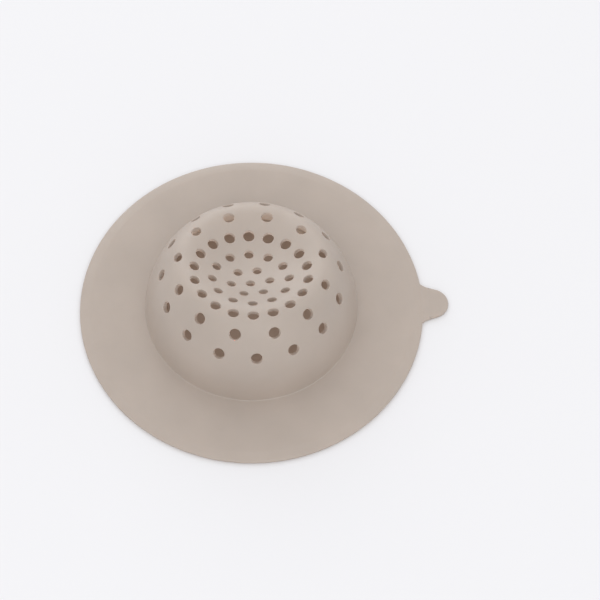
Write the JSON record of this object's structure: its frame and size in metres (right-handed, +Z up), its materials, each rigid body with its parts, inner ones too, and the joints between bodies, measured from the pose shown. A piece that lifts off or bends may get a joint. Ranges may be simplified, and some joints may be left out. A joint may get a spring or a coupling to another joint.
{
  "type": "sink strainer",
  "caption": "Soft round sink strainer with a flat sealing brim, a perforated dome whose crown is pressed in and pops back out, and a small pull tab on the rim.",
  "frame": {"origin": "middle of the outline, tab included, on the plane of the brim's underside", "axes": "+Z up out of the dome, +X towards the pull tab"},
  "size_m": [0.1234, 0.115, 0.0288],
  "materials": {
    "silicone": "matte taupe silicone"
  },
  "bodies": {
    "brim": {"brim": "silicone", "dome_wall": "silicone"},
    "fold_ring": {"fold_ring": "silicone"},
    "pit_ring": {"pit_ring": "silicone"},
    "crown": {"crown": "silicone"},
    "pull_tab": {"pull_tab": "silicone"}
  },
  "joints": [
    {"name": "crown_press", "type": "slide", "parent": "brim", "child": "crown", "axis": [0.0229, 0.1894, 0.9816], "range_m": [0, 0.0157]},
    {"name": "pit_press", "type": "slide", "parent": "brim", "child": "pit_ring", "axis": [0.0229, 0.1894, 0.9816], "range_m": [0, 0.01099]},
    {"name": "fold_press", "type": "slide", "parent": "brim", "child": "fold_ring", "axis": [0.0229, 0.1894, 0.9816], "range_m": [0, 0.00518]},
    {"name": "tab_bend", "type": "hinge", "parent": "brim", "child": "pull_tab", "pos_m": [0.05545, 0, 0.00065], "axis": [0, -1, 0], "range_deg": [0, 80]}
  ],
  "couplings": [
    {"joint": "pit_press", "follows": "crown_press", "ratio": 0.7},
    {"joint": "fold_press", "follows": "crown_press", "ratio": 0.33}
  ]
}
